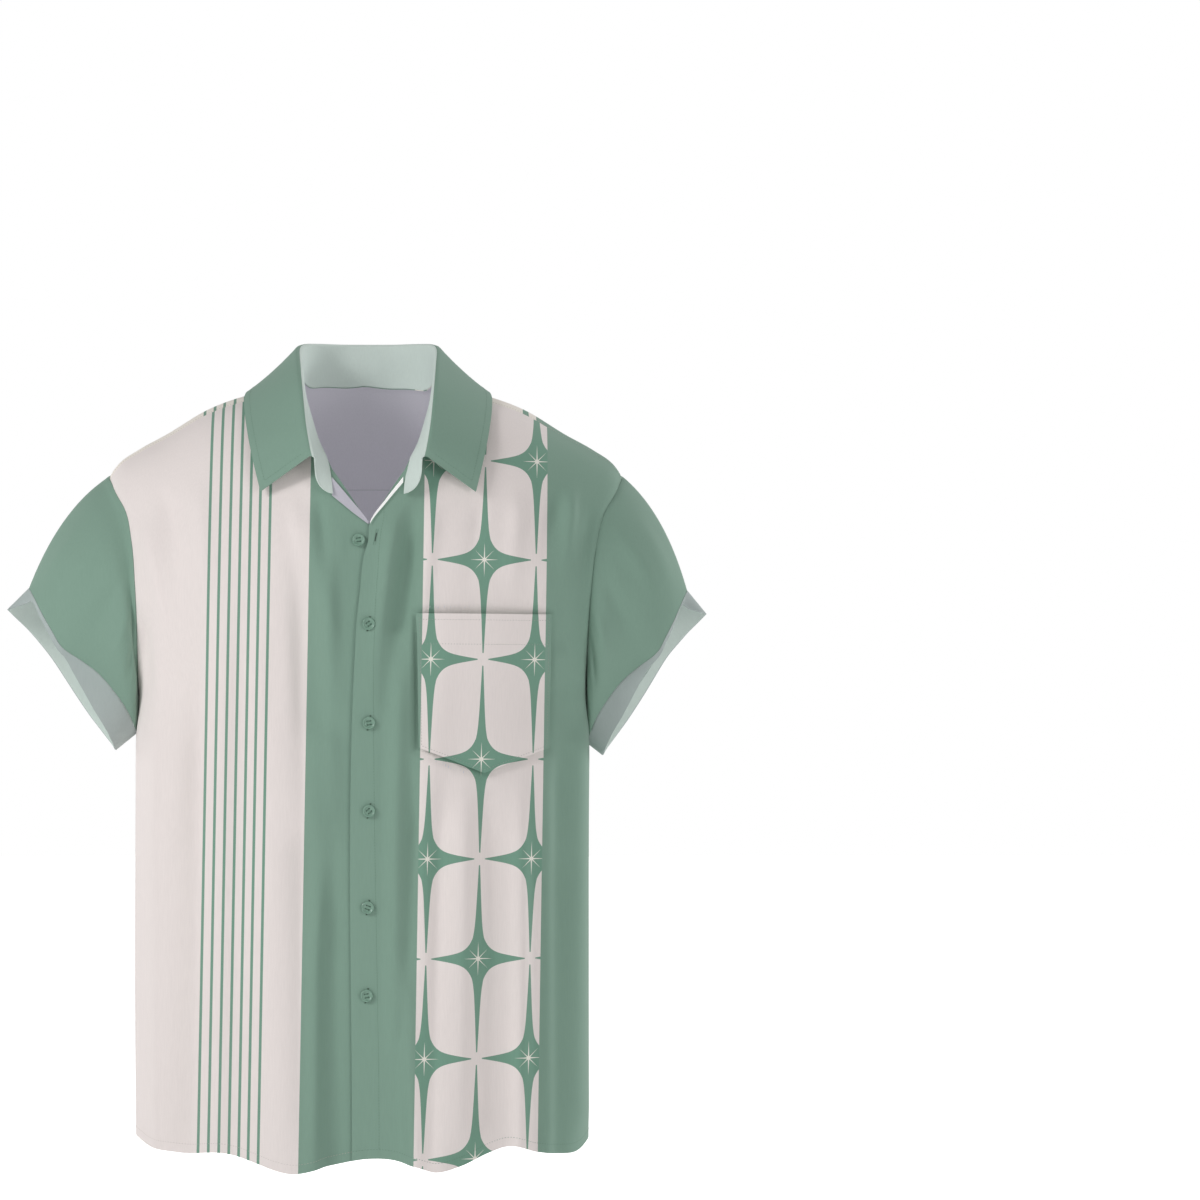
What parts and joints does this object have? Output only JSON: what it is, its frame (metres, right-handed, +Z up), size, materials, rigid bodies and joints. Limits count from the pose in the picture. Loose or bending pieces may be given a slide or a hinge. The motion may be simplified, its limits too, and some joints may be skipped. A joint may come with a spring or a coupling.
{
  "type": "hawaiian shirt",
  "caption": "Short-sleeved camp shirt, buttoned and filled out as if worn, hollow, with open neck, hem, cuffs and armholes.",
  "frame": {"origin": "middle of the neck at shoulder height, where a wearer carries the shirt", "axes": "+Z up towards the neck, -Y the way the wearer faces, +X towards the wearer's left"},
  "size_m": [0.6998, 0.2748, 0.8254],
  "materials": {
    "green_cloth": "matt woven rayon, sage green",
    "cream_cloth": "matt woven rayon, warm cream",
    "pale_cloth": "matt woven rayon, pale wrong side of the print",
    "button": "satin, sage green"
  },
  "bodies": {
    "root": {"front_right": "cream_cloth", "back": "cream_cloth", "yoke": "cream_cloth", "pocket": "cream_cloth", "front_left": "green_cloth", "sleeve_right": "green_cloth", "sleeve_left": "green_cloth", "collar_fall": "green_cloth", "cuff_right": "pale_cloth", "cuff_left": "pale_cloth", "collar_stand": "pale_cloth", "turnback_right": "pale_cloth", "turnback_left": "pale_cloth", "button_1": "button", "button_2": "button", "button_3": "button", "button_4": "button", "button_5": "button", "button_6": "button"}
  },
  "joints": []
}
